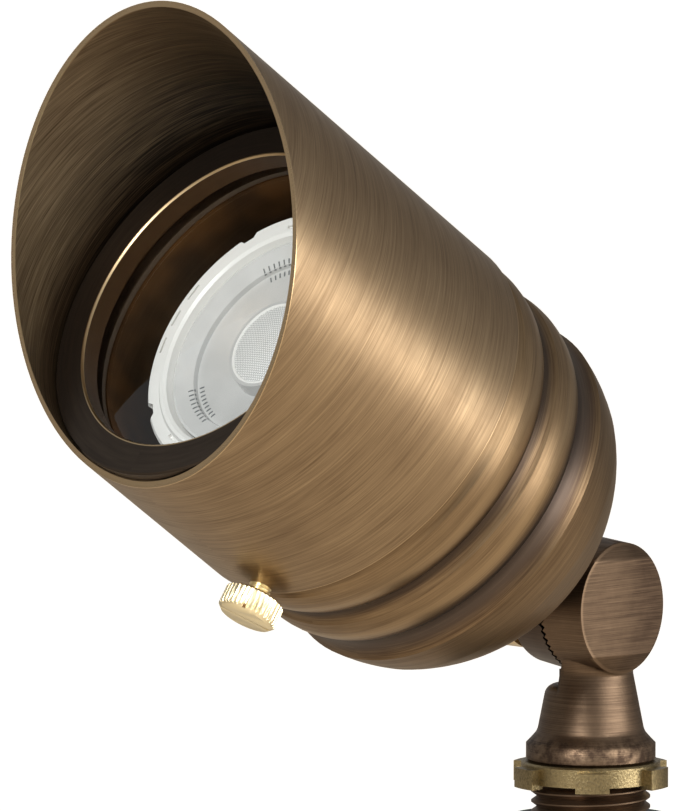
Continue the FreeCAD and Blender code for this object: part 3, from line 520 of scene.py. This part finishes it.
def bright_brass(name, tint, roughness, grain_scale, depth, stain=0.72, speckle=0.0,
                 detail=None):
    """Bare metal with a fine grain and a broad stain."""
    wire, shader = start(name, Metallic=1.0)
    place = place_in(wire)
    fine = place.noise(grain_scale, 3.0, 0.6)
    broad = place.noise(170.0, 2.0)
    stained = ((broad - 0.5) * 1.2 + (fine - 0.5) * speckle + 0.35).held()
    colour = stained.blend(tint, tuple(c * stain for c in tint))
    if detail:
        colour = detail(wire, colour)
    finish(wire, shader, Base_Color=colour, Roughness=(fine - 0.5) * 0.22 + roughness,
           Normal=bump(fine, 0.25, depth))


def slot_shadow(wire, colour):
    """A dark line of painted shadow in the driver slot."""
    x, y, z = split(place_in(wire, SCREW))
    off = (x * math.cos(SLOT_TURN) + y * math.sin(SLOT_TURN)).math("ABSOLUTE")
    slot = 1.0 - off.between(0.50 * SLOT_WIDTH, 0.53 * SLOT_WIDTH)
    sunk = z.between(0.0001 - SCREW_HEAD, 0.0004 - SCREW_HEAD)
    low = 1.0 - z.between(SLOT_DEPTH - SCREW_HEAD, 1.1 * SLOT_DEPTH - SCREW_HEAD)
    return (slot * sunk * low * 0.9).blend(colour, SLOT_SHADOW)


bright_brass("thumb screw brass", (0.99, 0.86, 0.56), 0.32, 1600.0, 0.00002, 0.92,
             detail=slot_shadow)
bright_brass("clamp knob brass", (0.88, 0.66, 0.33), 0.20, 1400.0, 0.00003)
bright_brass("locknut brass", (0.36, 0.280, 0.145), 0.36, 2400.0, 0.00034, 0.34, 2.0)
bright_brass("shank nut brass", (0.72, 0.57, 0.33), 0.30, 1500.0, 0.00004)
bright_brass("nickel pins", (0.70, 0.68, 0.64), 0.22, 1500.0, 0.00002)
bright_brass("zinc steel", (0.58, 0.58, 0.57), 0.34, 1500.0, 0.00004)
bright_brass("cast aluminium", (0.74, 0.74, 0.75), 0.42, 900.0, 0.00010)
print("metals:", len(finishes))

# %% [markdown]
# ## Plastic, ceramic and rubber
# These reflect light from just under the skin, so they are not metallic. A little broad
# unevenness in colour and a fine grain in the bump keep them from looking like paint.

# %% Plain finishes
def dull(name, tint, roughness, grain, depth, spread):
    """A plain moulded or fired skin, a little uneven in colour."""
    wire, shader = start(name)
    place = place_in(wire)
    fine = place.noise(grain, 3.0, 0.6)
    broad = place.noise(110.0, 3.0)
    darker = tuple(c * (1.0 - 2.0 * spread) for c in tint)
    colour = ((broad - 0.5) * 1.6 + 0.5).held().blend(darker, tint)
    finish(wire, shader, Base_Color=colour, Roughness=(fine - 0.5) * 0.2 + roughness,
           Normal=bump(fine, 0.3, depth))


dull("white lamp frame", (0.83, 0.815, 0.78), 0.36, 900.0, 0.00003, 0.03)
dull("lamp base plastic", (0.72, 0.72, 0.70), 0.42, 900.0, 0.00004, 0.04)
dull("circuit board", (0.78, 0.76, 0.60), 0.45, 1200.0, 0.00003, 0.06)
dull("ceramic", (0.80, 0.77, 0.70), 0.50, 1100.0, 0.00008, 0.05)
dull("silicone", (0.080, 0.050, 0.028), 0.60, 1200.0, 0.00004, 0.05)
dull("moulded black", (0.022, 0.022, 0.023), 0.48, 1100.0, 0.00012, 0.20)
print("finishes so far:", len(finishes))

# %% [markdown]
# ## The optic
# The optic is a clear moulding seen against white, so it reads as pale milky grey with
# a wet shine, which a coat over a pale skin gives. Its round eye is a honeycomb of
# micro lenses, half a millimetre apart. Thousands of modelled domes would be heavy and
# smaller than a pixel. The distance to the nearest cell centre, from two interleaved
# grids, draws them and bumps them a little.

# %% Optic finish
EYE_RADIUS, MICRO_LENS, DISH_RING = 0.0077, 0.00047, (0.0150, 0.0172)


def repeat(value, period, shift):
    """Distance to the middle of the repeat that the value falls in."""
    return ((value / period + shift).math("FRACT") - 0.5) * period


def honeycomb(x, y, pitch):
    """Squared distance to the nearest cell centre of a honeycomb, over the largest."""
    rise = pitch * math.sqrt(3.0)
    grids = []
    for shift in (0.0, 0.5):
        a, b = repeat(x, pitch, shift), repeat(y, rise, shift)
        grids.append(a * a + b * b)
    return grids[0].math("MINIMUM", grids[1]) * (3.0 / pitch ** 2)


def clear_optic(name, tint):
    """A pale skin under a wet coat, with the honeycomb eye in the middle."""
    wire, shader = start(name, Coat_Weight=0.7, Coat_Roughness=0.04, IOR=1.49)
    place = place_in(wire, HEAD)
    x, y, _ = split(place)
    reach = radius_of(x, y)
    eye = 1.0 - reach.between(EYE_RADIUS - 0.0003, EYE_RADIUS + 0.0001)
    cell = honeycomb(x, y, MICRO_LENS).math("MINIMUM", 1.0)
    broad = place.noise(150.0, 2.0)
    inner = 1.0 - reach.between(*DISH_RING)
    shade = (broad.between(0.3, 0.7) * 0.13 + inner * (1.0 - eye) * 0.19
             + (cell - 0.38) * eye * 2.1).held()
    pale = eye.blend(tint, tuple(c * 1.40 for c in tint))
    finish(wire, shader, Base_Color=shade.blend(pale, tuple(c * 0.42 for c in tint)),
           Roughness=0.14 + broad * 0.06,
           Normal=bump((1.0 - cell) * eye, 0.6, 0.00012))


clear_optic("lamp optic", (0.61, 0.605, 0.59))
# The prisms' dark tint is painted: clear plastic, they look dark only by what they
# refract.
clear_optic("optic prisms", (0.20, 0.21, 0.21))
print("micro lenses across the eye:", round(2.0 * EYE_RADIUS / MICRO_LENS))

# %% [markdown]
# ## The cover glass
# The glass is nearly invisible: it lets the light through and only mirrors at a shallow
# angle. Real refraction would leave the lamp behind it dark and noisy. A Mix Shader of
# Transparent and a mirror, driven by Fresnel, keeps the lamp lit. Only the side that
# light enters mirrors, so the back of the pane adds no second reflection.

# %% Cover glass finish
BACKFACING = 6
wire, shader = start("cover glass", Metallic=1.0)
specks = place_in(wire, HEAD).noise(700.0, 3.0)
finish(wire, shader, Roughness=specks * 0.03 + 0.01,
       Base_Color=specks.blend((0.95, 0.96, 0.96), (0.99, 1.0, 1.0)))
through = wire.node("BsdfTransparent", Color=(0.97, 0.98, 0.98, 1.0))
edge = wire.node("Fresnel", IOR=1.5) * (1.0 - wire.node("NewGeometry", out=BACKFACING))
mirror = Wire(wire.tree, shader.outputs[0])
pane = wire.node("MixShader", i0=edge, i1=through, i2=mirror)
wire.feed(wire.tree.nodes["Material Output"].inputs["Surface"], pane)
print(len(finishes), "finishes")

# %% [markdown]
# ## Dressing the packed pieces
# Each packed piece keeps its mesh and only gets its finish in every material slot.

# %% Finish for each piece
DRESS = {
    "glare_shroud": "shroud bronze", "lamp_housing": "housing bronze",
    "lens_ring": "lens ring bronze", "shroud_thumb_screw": "thumb screw brass",
    "glass_lens": "cover glass", "lens_gasket": "silicone",
    "lamp_frame": "white lamp frame", "lamp_optic": "lamp optic",
    "lamp_board": "circuit board", "lamp_heat_sink": "cast aluminium",
    "lamp_base": "lamp base plastic", "lamp_pins": "nickel pins",
    "lamp_socket": "ceramic", "socket_bracket": "zinc steel",
    "bracket_screws": "zinc steel", "socket_screws": "zinc steel",
    "head_knuckle": "head knuckle bronze in painted shade", "shank_nut": "shank nut brass",
    "shank_washer": "zinc steel", "knuckle_stem": "stem bronze",
    "clamp_knob": "clamp knob brass", "clamp_washer": "zinc steel",
    "locknut": "locknut brass", "ground_spike": "moulded black",
}
for node_name, finish_name in DRESS.items():
    target = bpy.data.objects[node_name]
    if not target.material_slots:
        target.data.materials.append(finishes[finish_name])
    for slot in target.material_slots:
        slot.material = finishes[finish_name]
print("dressed", len(DRESS), "pieces")

# %% [markdown]
# ## New pieces
# A new piece is made where it sits, so its object stays at the origin. It is smooth
# shaded with sharp edges by angle, rides on a body of the packed model, and has the
# material slot of the piece that it belongs to.

# %% Making a piece
MERGE_WITHIN = 1e-6


def new_piece(name, shape, finish_name, body, sharp=28.0):
    """A smooth shaded object with one finish, on a body and in a slot."""
    mesh = bpy.data.meshes.new(name)
    shape.to_mesh(mesh)
    shape.free()
    mesh.materials.append(finishes[finish_name])
    mesh.shade_smooth()
    mesh.set_sharp_from_angle(angle=math.radians(sharp))
    piece = bpy.data.objects.new(name, mesh)
    bpy.context.scene.collection.objects.link(piece)
    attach(piece, body)
    print(name, len(mesh.polygons), "faces")
    return piece


def merged_copy(node):
    """A packed mesh is loose triangles, so a copy of it is merged first."""
    shape = bmesh.new()
    shape.from_mesh(bpy.data.objects[node].data)
    bmesh.ops.remove_doubles(shape, verts=shape.verts, dist=MERGE_WITHIN)
    return shape


print("pieces merge points closer than", MERGE_WITHIN)

# %% [markdown]
# ## Cutting a thread
# A screw thread is one ridge that climbs round a core. Drawn as rings it would look
# wrong, because the lines of a real thread lean. A Screw modifier could climb too. The
# spin operator does it in one call and gives a closed mesh: a V of four corners is
# spun up with a little lift at every step. Before that, the cylinder that stands for
# the thread in the packed piece is turned down to the thread's core.

# %% Turning down and winding up
SKIN_SLACK, ALONG_SLACK = 5e-5, 1e-5
CREST_HALF, ROOT_HALF, ROOT_BURIED = 0.07, 0.47, 0.05


def turn_down(shape, place, crest, depth, low, high):
    """Bring the outside of a cylinder down to the core of its thread."""
    home = place.inverted()
    skin = []
    for vert in shape.verts:
        local = home @ vert.co
        reach = math.hypot(local.x, local.y)
        along = low - ALONG_SLACK <= local.z <= high + ALONG_SLACK
        if along and crest - 1.3 * depth < reach < crest + SKIN_SLACK:
            skin.append(vert)
    core = (crest - depth) / crest
    squeeze = Matrix.Diagonal((core, core, 1.0, 1.0))
    bmesh.ops.transform(shape, matrix=place @ squeeze @ home, verts=skin)
    return len(skin)


def thread_ridge(place, crest, depth, pitch, low, high, steps_a_turn=48):
    """A V ridge of one start, closed at both ends, spun up round the Z axis."""
    shape = bmesh.new()
    root = crest - depth - ROOT_BURIED * depth
    flank = [(root, -ROOT_HALF * pitch), (crest, -CREST_HALF * pitch),
             (crest, CREST_HALF * pitch), (root, ROOT_HALF * pitch)]
    corners = [shape.verts.new((reach, 0.0, low + rise)) for reach, rise in flank]
    start_face = shape.faces.new(corners)
    turns = (high - low) / pitch
    steps = int(round(turns * steps_a_turn))
    bmesh.ops.spin(shape, geom=[start_face, *shape.edges, *shape.verts],
                   cent=(0, 0, 0), axis=(0, 0, 1), dvec=(0, 0, (high - low) / steps),
                   angle=turns * 2 * math.pi, steps=steps)
    bmesh.ops.holes_fill(shape, edges=shape.edges)
    bmesh.ops.recalc_face_normals(shape, faces=shape.faces)
    bmesh.ops.transform(shape, matrix=place, verts=shape.verts)
    return shape


print("a ridge is", 2 * ROOT_HALF, "of the pitch wide at its root")

# %% [markdown]
# ## The stem and its pipe thread
# The stem has a half-inch pipe thread, 14 ridges to the inch. The packed stem is copied
# and turned down, and the ridge is wound up to just below the flange. The two serrated
# discs of the packed model stand crest to crest, which is right for a joint that is
# slack. A clamped joint is seen here, so the stem's teeth turn by half a tooth.

# %% The stem and its pipe thread
THREAD_CREST, THREAD_DEPTH, THREAD_PITCH = 0.01045, 0.00095, 0.001814
FLANGE_UNDER, THREAD_END, RUN_OUT = 0.0222, 0.0002, 0.0009
TEETH, TOOTH_CREST, TOOTH_DEPTH, TOOTH_SLACK = 60, -0.00031, 0.00055, 3e-5
CHAMBER_RADIUS, DISC_RADIUS = 0.0045, 0.0120
upright = Matrix.Identity(4)
stem = merged_copy("knuckle_stem")
print("thread core:", turn_down(stem, upright, THREAD_CREST, THREAD_DEPTH, THREAD_END,
                                FLANGE_UNDER), "points")
tooth_low = TOOTH_CREST - TOOTH_SLACK
tooth_high = TOOTH_CREST + TOOTH_DEPTH + TOOTH_SLACK
teeth = [v for v in stem.verts if tooth_low < v.co.x < tooth_high
         and CHAMBER_RADIUS < (v.co - PIVOT).length < DISC_RADIUS * 1.005]
half_tooth = Matrix.Rotation(math.pi / TEETH, 4, "X")
bmesh.ops.transform(stem, matrix=KNUCKLE @ half_tooth @ KNUCKLE.inverted(), verts=teeth)
print("serration points set crest to valley:", len(teeth))
stem_piece = new_piece("stem_body", stem, "stem bronze", "stem")
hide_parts("knuckle_stem")
ridge = thread_ridge(upright, THREAD_CREST, THREAD_DEPTH, THREAD_PITCH,
                     THREAD_END + RUN_OUT, FLANGE_UNDER - RUN_OUT)
new_piece("stem_thread", ridge, "stem bronze", "stem")

# %% [markdown]
# ## The thumb screw and its fine thread
# The screw that pins the shroud has a fine machine thread, of which a few turns show
# between head and shroud. It gets the same treatment in its own axes, with fewer steps
# to the turn because it is small.

# %% The thumb screw and its fine thread
SCREW_CREST, SCREW_DEPTH, SCREW_PITCH, SCREW_TIP = 0.00205, 0.00030, 0.0007, 0.0029
RIDGE_START, RIDGE_END, RIDGE_STEPS = 0.0004, 0.0023, 32
screw = merged_copy("shroud_thumb_screw")
print("screw core:", turn_down(screw, SCREW, SCREW_CREST, SCREW_DEPTH, 0.0, SCREW_TIP),
      "points")
screw_piece = new_piece("thumb_screw_body", screw, "thumb screw brass", "thumb_screw")
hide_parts("shroud_thumb_screw")
ridge = thread_ridge(SCREW, SCREW_CREST, SCREW_DEPTH, SCREW_PITCH, RIDGE_START,
                     RIDGE_END, RIDGE_STEPS)
new_piece("thumb_screw_thread", ridge, "thumb screw brass", "thumb_screw")

# %% [markdown]
# ## The optic's prisms
# The optic bends light with little prisms halfway up its dish, in three clusters of two
# rows. Copies made by an Array modifier would float off the curved dish. Here each
# prism is a small four-sided cone, seated by asking the packed dish where a line along
# the beam meets it.

# %% The optic's prisms
PRISM_RADIUS, ROW_GAP, SEEN_FROM = 0.0163, 0.0008, 0.03
PRISM_LONG, PRISM_WIDE, PRISM_HIGH, PRISM_TOP = 0.0016, 0.00052, 0.00032, 0.12
CLUSTERS, PRISM_STEP, EACH_WAY = (110.0, 230.0, 350.0), 3.6, 4
prism_size = Matrix.Diagonal((PRISM_LONG, PRISM_WIDE, PRISM_HIGH, 1.0))
corners_to_sides = Matrix.Rotation(math.radians(45.0), 4, "Z")
optic = BVHTree.FromObject(bpy.data.objects["lamp_optic"],
                           bpy.context.evaluated_depsgraph_get())
spots = [(math.radians(middle + (step + 0.5 * row) * PRISM_STEP), reach)
         for middle in CLUSTERS for step in range(-EACH_WAY, EACH_WAY + 1)
         for row, reach in enumerate((PRISM_RADIUS - ROW_GAP, PRISM_RADIUS + ROW_GAP))]
prisms = bmesh.new()
for turn, reach in spots:
    above = HEAD @ Vector((reach * math.cos(turn), reach * math.sin(turn), SEEN_FROM))
    seat, out, _, _ = optic.ray_cast(above, -BEAM)
    if seat is None:
        continue
    outward = HEAD.to_3x3() @ Vector((math.cos(turn), math.sin(turn), 0.0))
    side = out.cross(outward).normalized()
    axes = Matrix((side.cross(out), side, out)).transposed().to_4x4()
    bmesh.ops.create_cone(prisms, cap_ends=True, segments=4, radius1=math.sqrt(0.5),
                          radius2=PRISM_TOP, depth=1.0, matrix=(
                              Matrix.Translation(seat) @ axes @ prism_size
                              @ corners_to_sides))
new_piece("optic_prisms", prisms, "optic prisms", "head", 20.0)

# %% [markdown]
# ## The eye's rim
# A raised rim runs round the eye. It is a small circle spun once round the beam, with
# the seam merged, so it stays a closed ring.

# %% The eye's rim
EYE_EDGE, RIM_RADIUS, RIM_SIDES, RIM_STEPS = 0.0230, 0.00030, 10, 96
rim = bmesh.new()
beside = (Matrix.Translation((EYE_RADIUS, 0.0, EYE_EDGE))
          @ Matrix.Rotation(math.pi / 2, 4, "X"))
ring = bmesh.ops.create_circle(rim, segments=RIM_SIDES, radius=RIM_RADIUS,
                               matrix=beside)
bmesh.ops.spin(rim, geom=ring["verts"] + rim.edges[:], cent=(0, 0, 0), axis=(0, 0, 1),
               dvec=(0, 0, 0), angle=2 * math.pi, steps=RIM_STEPS, use_merge=True)
bmesh.ops.recalc_face_normals(rim, faces=rim.faces)
bmesh.ops.transform(rim, matrix=HEAD, verts=rim.verts)
new_piece("optic_eye_rim", rim, "white lamp frame", "head")

# %% [markdown]
# ## The floor
# The picture stands on white. More light would bleach the metal, so the floor has a
# plain pale colour instead, and a little glow of its own that only camera rays see. It
# still takes the object's shadow.

# %% Floor
FLOOR_HALF, FLOOR_DROP, FLOOR_GLOW = 6.0, 0.0002, 0.80
WHITE = (1.0, 1.0, 1.0, 1.0)
floor_mesh = bpy.data.meshes.new("floor")
shape = bmesh.new()
bmesh.ops.create_grid(shape, x_segments=1, y_segments=1, size=FLOOR_HALF)
bmesh.ops.translate(shape, verts=shape.verts,
                    vec=(0.0, 0.0, packed_box[0][2] - FLOOR_DROP))
shape.to_mesh(floor_mesh)
shape.free()
floor = bpy.data.objects.new("floor", floor_mesh)
bpy.context.scene.collection.objects.link(floor)

wire, shader = start("pale floor", Roughness=0.9)
speckle = place_in(wire).noise(4.0, 2.0)
finish(wire, shader, Base_Color=speckle.blend((0.72, 0.63, 0.52), (0.75, 0.66, 0.54)))
glow = wire.node("Emission", Color=WHITE, Strength=wire.node("LightPath") * FLOOR_GLOW)
both = wire.node("AddShader", i0=Wire(wire.tree, shader.outputs[0]), i1=glow)
wire.feed(wire.tree.nodes["Material Output"].inputs["Surface"], both)
floor.data.materials.append(finishes["pale floor"])
print("floor at", round(packed_box[0][2] - FLOOR_DROP, 4))

# %% [markdown]
# ## The room
# The room could be a picture of a studio. Here it is one plain white to the camera, and
# a dimmer white to everything else, so that it fills the shadows without washing out
# the bronze.

# %% World
ROOM_LIGHT = 0.38
world = bpy.data.worlds.new("studio")
bpy.context.scene.world = world
world.use_nodes = True
wire = Wire(world.node_tree)
brightness = wire.node("LightPath") * (1.0 - ROOM_LIGHT) + ROOM_LIGHT
sky = wire.node("Background", Color=WHITE, Strength=brightness)
wire.feed(world.node_tree.nodes["World Output"].inputs["Surface"], sky)
print("room light", ROOM_LIGHT)

# %% [markdown]
# ## Studio lights
# Brushed metal shows its surroundings as soft bands along the tube. A long soft box
# above the camera, parallel to the beam, makes the bright band. A round one in front of
# the mouth reaches the lamp inside. Sun lamps would give hard edges, and point lamps
# small hot spots on each bead.

# %% Soft boxes
TARGET = HEAD @ Vector((0.0, 0.0, 0.02))
flat_back = (back - BEAM * back.dot(BEAM)).normalized()
across = BEAM.cross(back).normalized()
if across.z < 0.0:
    across = -across


def soft_box(name, power, place, **shape):
    data = bpy.data.lights.new(name, "AREA")
    data.energy = power
    for key, value in shape.items():
        setattr(data, key, value)
    lamp = bpy.data.objects.new(name, data)
    lamp.matrix_world = place
    bpy.context.scene.collection.objects.link(lamp)
    print(name, "at", [round(v, 2) for v in place.translation])


KEY_TILT, KEY_DISTANCE, KEY_SLIDE = math.radians(41.0), 1.2, -0.28
out = flat_back * math.cos(KEY_TILT) + across * math.sin(KEY_TILT)
axes = Matrix((BEAM, out.cross(BEAM), out)).transposed().to_4x4()
soft_box("key above the camera", 14.3,
         Matrix.Translation(TARGET + out * KEY_DISTANCE + BEAM * KEY_SLIDE) @ axes,
         shape="RECTANGLE", size=1.6, size_y=0.50)

MOUTH_DISTANCE = 0.9
out = (BEAM * 0.85 + back * 0.55).normalized()
axes = out.to_track_quat("Z", "Y").to_matrix().to_4x4()
soft_box("light into the mouth", 8.5,
         Matrix.Translation(TARGET + out * MOUTH_DISTANCE) @ axes,
         shape="DISK", size=0.35)

# %% [markdown]
# ## A dark card
# In a room that is white all round, metal looks flat. Photographers hold up a grey card
# to put a darker band beside the bright one. This card stands behind and above the
# shroud, its long side along the beam, and the camera itself doesn't see it.

# %% Dark card
CARD_TURN, CARD_DISTANCE, CARD_SLIDE = math.radians(128.0), 0.5, -0.35
CARD_LONG, CARD_WIDE, CARD_GREY = 1.6, 0.48, 0.20
card_name = "card behind, above"
out = flat_back * math.cos(CARD_TURN) + across * math.sin(CARD_TURN)
side = (BEAM - out * BEAM.dot(out)).normalized()
mesh = bpy.data.meshes.new(card_name)
shape = bmesh.new()
bmesh.ops.create_grid(shape, x_segments=1, y_segments=1, size=0.5)
bmesh.ops.transform(shape, verts=shape.verts, matrix=(
    Matrix.Translation(TARGET + out * CARD_DISTANCE + BEAM * CARD_SLIDE)
    @ Matrix((side, out.cross(side), out)).transposed().to_4x4()
    @ Matrix.Diagonal((CARD_LONG, CARD_WIDE, 1.0, 1.0))))
shape.to_mesh(mesh)
shape.free()
card = bpy.data.objects.new(card_name, mesh)
bpy.context.scene.collection.objects.link(card)
card.visible_camera = False

wire, shader = start(card_name, Roughness=0.9)
cloth = place_in(wire).noise(90.0, 2.0)
finish(wire, shader, Base_Color=cloth.blend((CARD_GREY,) * 3, (CARD_GREY * 1.3,) * 3))
mesh.materials.append(finishes[card_name])
print("card", CARD_LONG, "x", CARD_WIDE, "m")

# %% [markdown]
